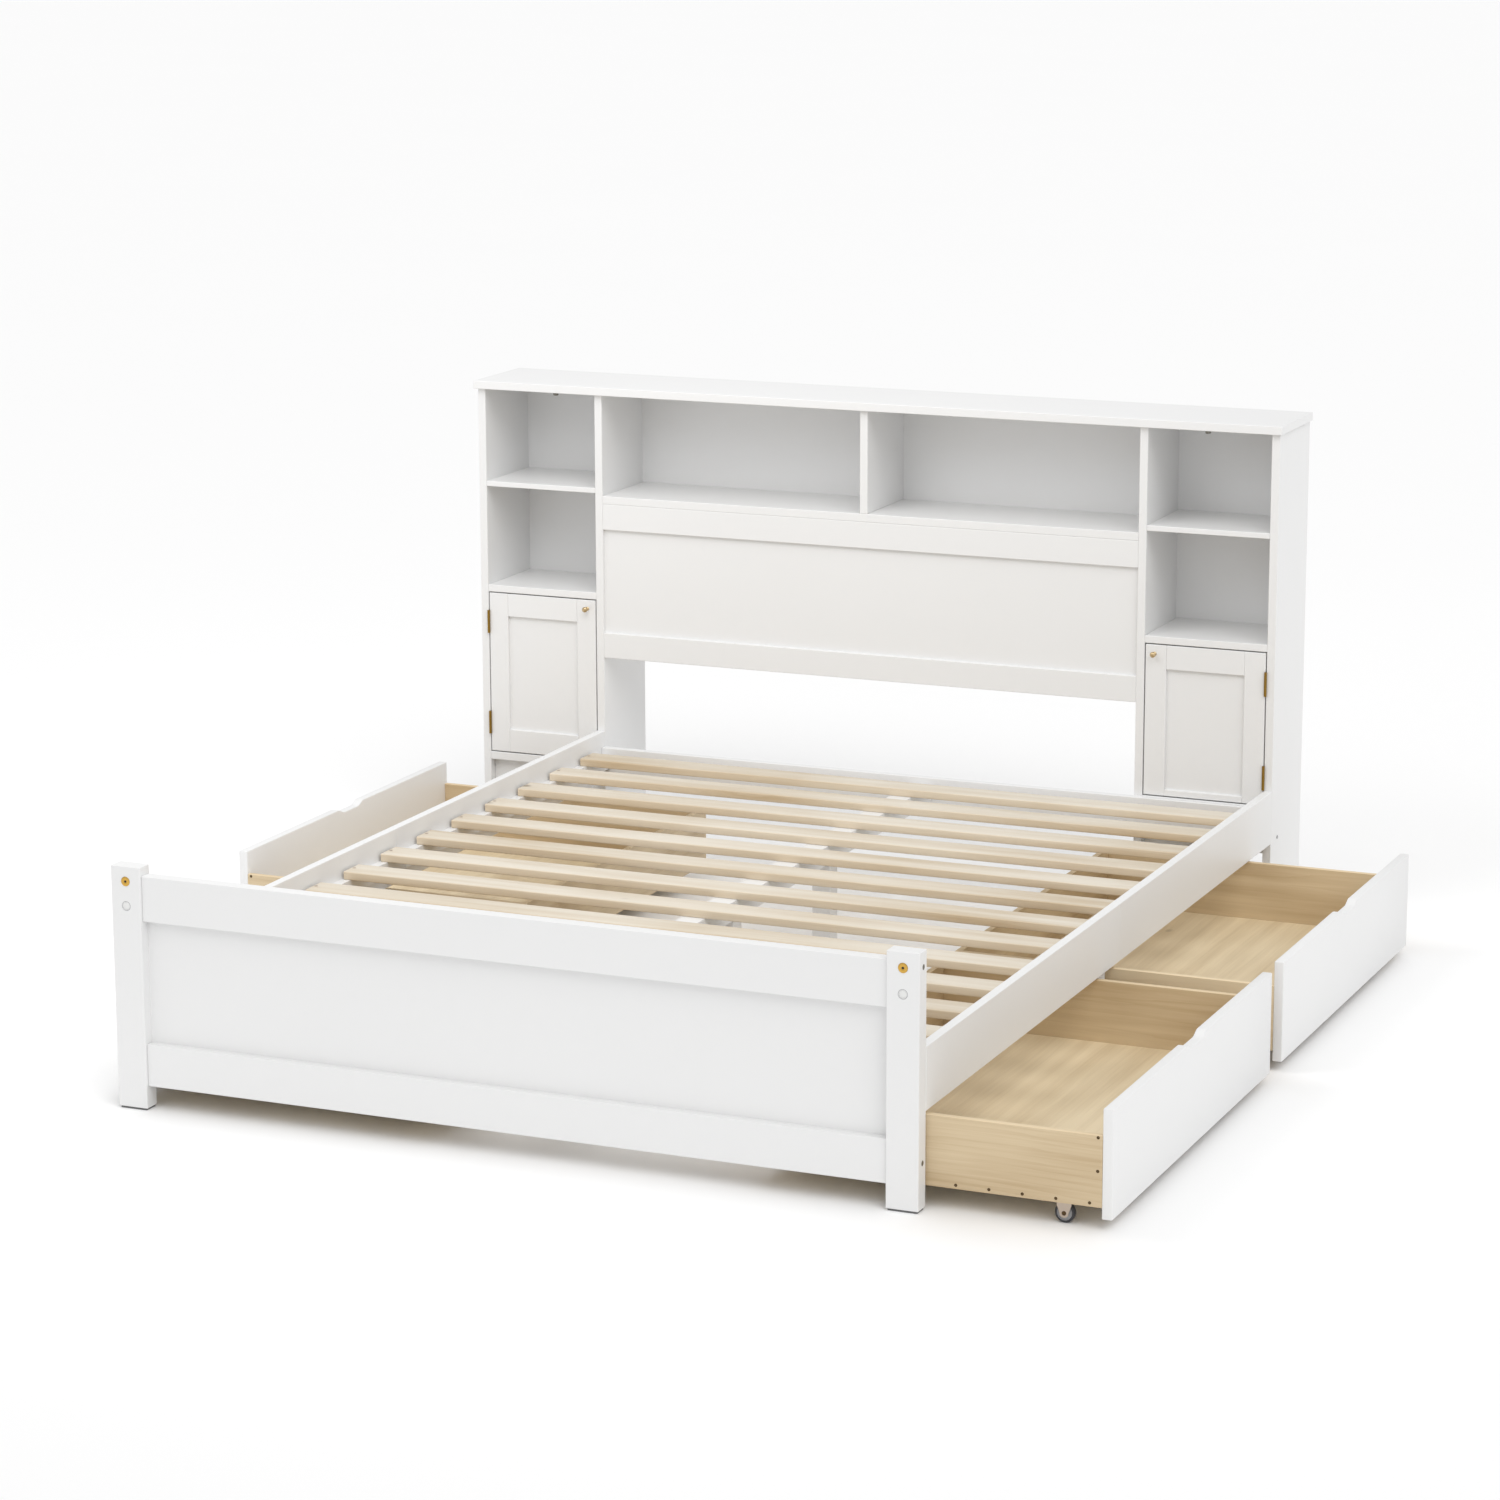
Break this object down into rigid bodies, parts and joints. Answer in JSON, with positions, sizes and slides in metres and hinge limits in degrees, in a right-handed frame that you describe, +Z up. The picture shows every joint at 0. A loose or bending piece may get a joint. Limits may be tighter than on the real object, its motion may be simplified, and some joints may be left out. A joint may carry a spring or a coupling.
{
  "type": "platform bed with storage drawers",
  "caption": "Low slatted platform bed with a wide bookcase headboard, cabinet doors, and underbed drawers that roll out on casters.",
  "frame": {"origin": "on the floor, under the middle of the bounding box at rest, with three of the drawers pulled out", "axes": "+Z up, +Y from the footboard to the headboard, +X to the right of someone who looks at the bed from its foot"},
  "size_m": [2.243, 2.29, 1.068],
  "materials": {
    "white_paint": "satin white paint on pine and board",
    "pine": "clear matt lacquer, straight grain with small knots",
    "brass": "bright brass plate",
    "steel": "zinc plate",
    "zinc_plate": "pressed, zinc plated",
    "roller": "dark rubber tread on a grey hub",
    "plastic": "white moulded"
  },
  "bodies": {
    "bed_frame": {"back_panels": "white_paint", "back_rest_panel": "white_paint", "back_rest_rails": "white_paint", "barrel_nuts": "brass", "bolt_caps": "plastic", "center_divider": "white_paint", "center_shelf": "white_paint", "center_support_rail": "white_paint", "corner_brackets": "zinc_plate", "door_catches": "plastic", "foot_glides": "plastic", "footboard_bolts": "steel", "footboard_bottom_rail": "white_paint", "footboard_panel": "white_paint", "footboard_posts": "white_paint", "footboard_top_rail": "white_paint", "head_cross_rail": "white_paint", "headboard_top": "white_paint", "hinge_fixed_halves": "brass", "left_cabinet_shelves": "white_paint", "left_inner_upright": "white_paint", "left_outer_upright": "white_paint", "left_side_rail": "white_paint", "right_cabinet_shelves": "white_paint", "right_inner_upright": "white_paint", "right_outer_upright": "white_paint", "right_side_rail": "white_paint", "slat_ledges": "white_paint", "slat_screws": "steel", "slats": "pine", "support_legs": "white_paint"},
    "far_left_drawer": {"far_left_drawer_box": "pine", "far_left_drawer_caster_brackets": "zinc_plate", "far_left_drawer_front": "white_paint"},
    "far_left_drawer_front_axle": {"far_left_drawer_front_wheels": "roller"},
    "far_left_drawer_rear_axle": {"far_left_drawer_rear_wheels": "roller"},
    "far_right_drawer": {"far_right_drawer_box": "pine", "far_right_drawer_caster_brackets": "zinc_plate", "far_right_drawer_front": "white_paint"},
    "far_right_drawer_front_axle": {"far_right_drawer_front_wheels": "roller"},
    "far_right_drawer_rear_axle": {"far_right_drawer_rear_wheels": "roller"},
    "left_door": {"left_door_frame": "white_paint", "left_door_hinges": "brass", "left_door_knob": "brass", "left_door_panel": "white_paint"},
    "near_left_drawer": {"near_left_drawer_box": "pine", "near_left_drawer_caster_brackets": "zinc_plate", "near_left_drawer_front": "white_paint"},
    "near_left_drawer_front_axle": {"near_left_drawer_front_wheels": "roller"},
    "near_left_drawer_rear_axle": {"near_left_drawer_rear_wheels": "roller"},
    "near_right_drawer": {"near_right_drawer_box": "pine", "near_right_drawer_caster_brackets": "zinc_plate", "near_right_drawer_front": "white_paint"},
    "near_right_drawer_front_axle": {"near_right_drawer_front_wheels": "roller"},
    "near_right_drawer_rear_axle": {"near_right_drawer_rear_wheels": "roller"},
    "right_door": {"right_door_frame": "white_paint", "right_door_hinges": "brass", "right_door_knob": "brass", "right_door_panel": "white_paint"}
  },
  "joints": [
    {"name": "near_right_drawer_slide", "type": "slide", "parent": "bed_frame", "child": "near_right_drawer", "axis": [1, 0, 0], "range_m": [-0.314, 0.27]},
    {"name": "near_right_drawer_front_roll", "type": "hinge", "parent": "near_right_drawer", "child": "near_right_drawer_front_axle", "pos_m": [1.0305, -0.6475, 0.018], "axis": [0, 1, 0], "continuous": true},
    {"name": "near_right_drawer_rear_roll", "type": "hinge", "parent": "near_right_drawer", "child": "near_right_drawer_rear_axle", "pos_m": [0.5345, -0.6475, 0.018], "axis": [0, 1, 0], "continuous": true},
    {"name": "far_right_drawer_slide", "type": "slide", "parent": "bed_frame", "child": "far_right_drawer", "axis": [1, 0, 0], "range_m": [-0.314, 0.27]},
    {"name": "far_right_drawer_front_roll", "type": "hinge", "parent": "far_right_drawer", "child": "far_right_drawer_front_axle", "pos_m": [1.0305, 0.341, 0.018], "axis": [0, 1, 0], "continuous": true},
    {"name": "far_right_drawer_rear_roll", "type": "hinge", "parent": "far_right_drawer", "child": "far_right_drawer_rear_axle", "pos_m": [0.5345, 0.341, 0.018], "axis": [0, 1, 0], "continuous": true},
    {"name": "near_left_drawer_slide", "type": "slide", "parent": "bed_frame", "child": "near_left_drawer", "axis": [-1, 0, 0], "range_m": [0, 0.584]},
    {"name": "near_left_drawer_front_roll", "type": "hinge", "parent": "near_left_drawer", "child": "near_left_drawer_front_axle", "pos_m": [-0.7165, -0.6475, 0.018], "axis": [0, -1, 0], "continuous": true},
    {"name": "near_left_drawer_rear_roll", "type": "hinge", "parent": "near_left_drawer", "child": "near_left_drawer_rear_axle", "pos_m": [-0.2205, -0.6475, 0.018], "axis": [0, -1, 0], "continuous": true},
    {"name": "far_left_drawer_slide", "type": "slide", "parent": "bed_frame", "child": "far_left_drawer", "axis": [-1, 0, 0], "range_m": [-0.314, 0.27]},
    {"name": "far_left_drawer_front_roll", "type": "hinge", "parent": "far_left_drawer", "child": "far_left_drawer_front_axle", "pos_m": [-1.0305, 0.341, 0.018], "axis": [0, -1, 0], "continuous": true},
    {"name": "far_left_drawer_rear_roll", "type": "hinge", "parent": "far_left_drawer", "child": "far_left_drawer_rear_axle", "pos_m": [-0.5345, 0.341, 0.018], "axis": [0, -1, 0], "continuous": true},
    {"name": "left_door_hinge", "type": "hinge", "parent": "bed_frame", "child": "left_door", "pos_m": [-1.05575, 0.922, 0.4], "axis": [0, 0, -1], "range_deg": [0, 110]},
    {"name": "right_door_hinge", "type": "hinge", "parent": "bed_frame", "child": "right_door", "pos_m": [0.76825, 0.922, 0.4], "axis": [0, 0, 1], "range_deg": [0, 90]}
  ],
  "couplings": [
    {"joint": "near_right_drawer_front_roll", "follows": "near_right_drawer_slide", "rad_per_m": 55.556},
    {"joint": "near_right_drawer_rear_roll", "follows": "near_right_drawer_slide", "rad_per_m": 55.556},
    {"joint": "far_right_drawer_front_roll", "follows": "far_right_drawer_slide", "rad_per_m": 55.556},
    {"joint": "far_right_drawer_rear_roll", "follows": "far_right_drawer_slide", "rad_per_m": 55.556},
    {"joint": "near_left_drawer_front_roll", "follows": "near_left_drawer_slide", "rad_per_m": 55.556},
    {"joint": "near_left_drawer_rear_roll", "follows": "near_left_drawer_slide", "rad_per_m": 55.556},
    {"joint": "far_left_drawer_front_roll", "follows": "far_left_drawer_slide", "rad_per_m": 55.556},
    {"joint": "far_left_drawer_rear_roll", "follows": "far_left_drawer_slide", "rad_per_m": 55.556}
  ]
}
